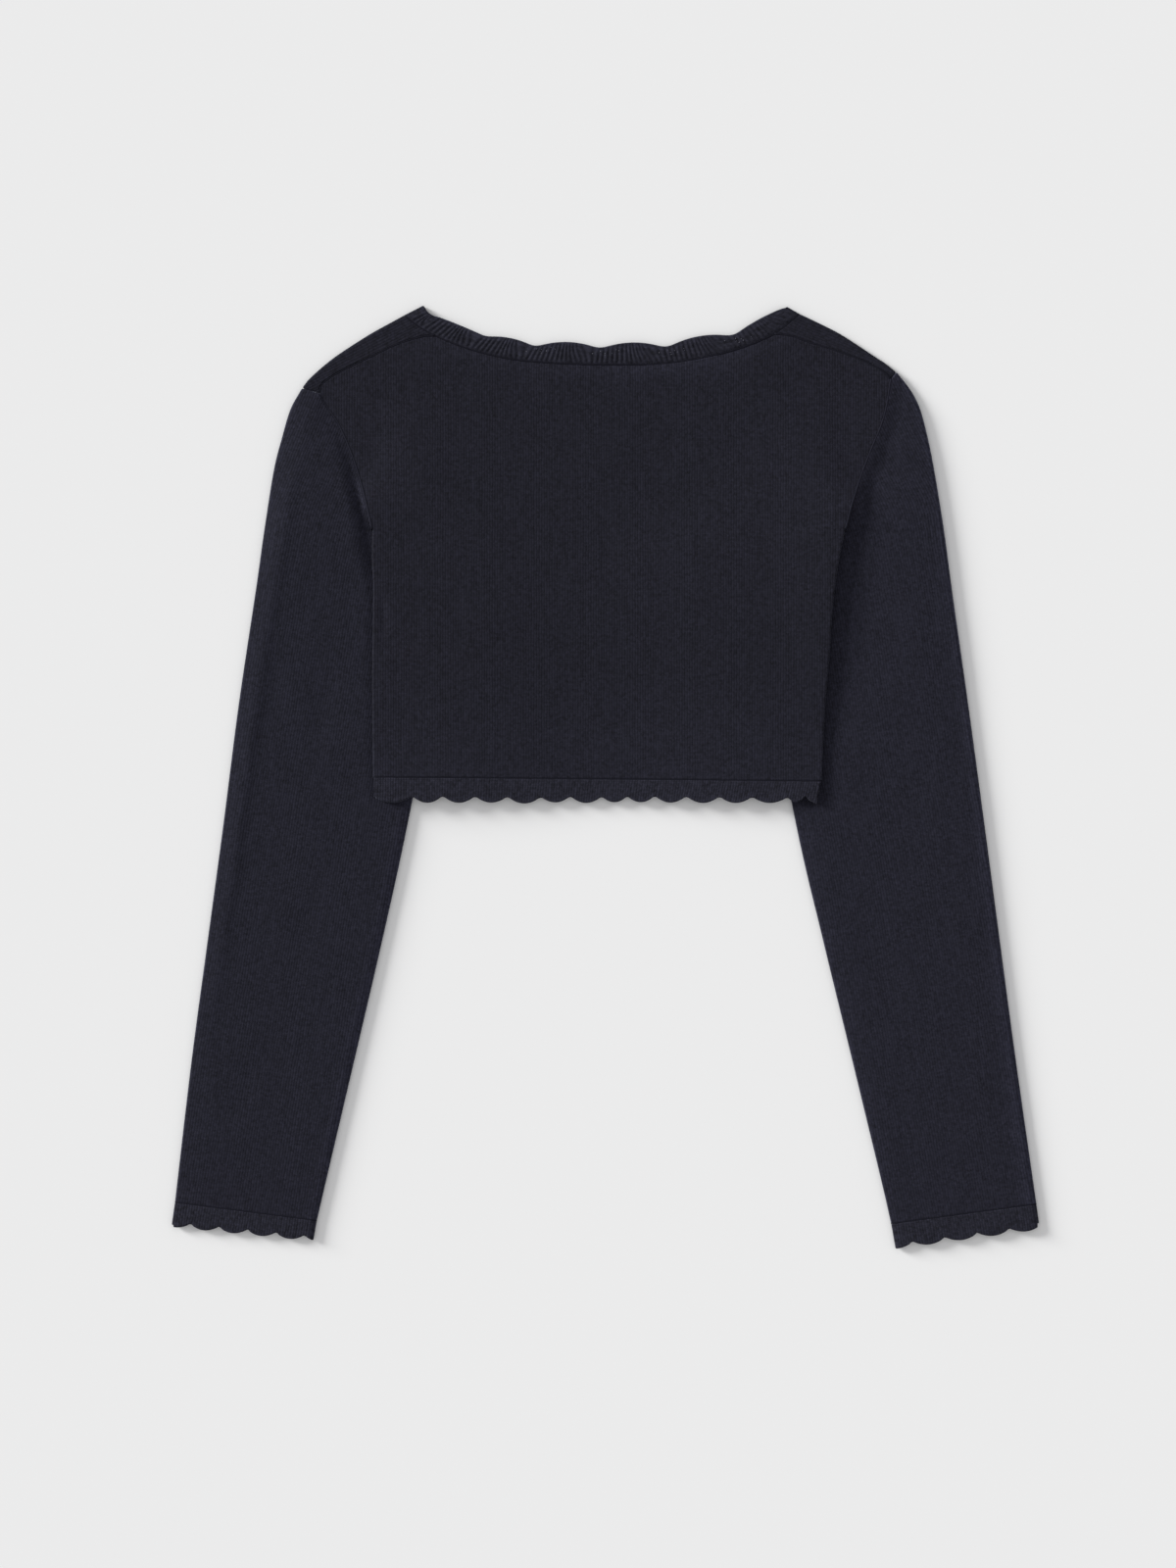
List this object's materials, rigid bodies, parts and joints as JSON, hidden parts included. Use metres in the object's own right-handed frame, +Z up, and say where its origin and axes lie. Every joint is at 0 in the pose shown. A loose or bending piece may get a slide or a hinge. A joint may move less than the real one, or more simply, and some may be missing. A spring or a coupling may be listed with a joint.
{
  "type": "cropped cardigan, laid flat",
  "caption": "Cropped open-front knitted cardigan with long sleeves and scalloped bands, lying flat face down with its sleeves swung down.",
  "frame": {"origin": "middle of the garment's outline as laid, on the surface it lies on", "axes": "+Z up out of the garment's back, +Y from the cuffs towards the neck, +X to the right as the back is looked at"},
  "size_m": [0.4917, 0.5343, 0.0057],
  "materials": {
    "jersey_knit": "fine plain jersey knit in near-black navy, matt",
    "rib_knit": "narrow ribbed knit band in near-black navy, matt",
    "trim_knit": "fine scalloped knit band in near-black navy, matt"
  },
  "bodies": {
    "root": {"back": "jersey_knit", "front_left": "jersey_knit", "front_right": "jersey_knit", "sleeve_left": "jersey_knit", "sleeve_right": "jersey_knit", "neck_band": "rib_knit", "front_band_left": "rib_knit", "front_band_right": "rib_knit", "hem_band_back": "trim_knit", "hem_band_front_left": "trim_knit", "hem_band_front_right": "trim_knit", "cuff_left": "trim_knit", "cuff_right": "trim_knit"}
  },
  "joints": []
}
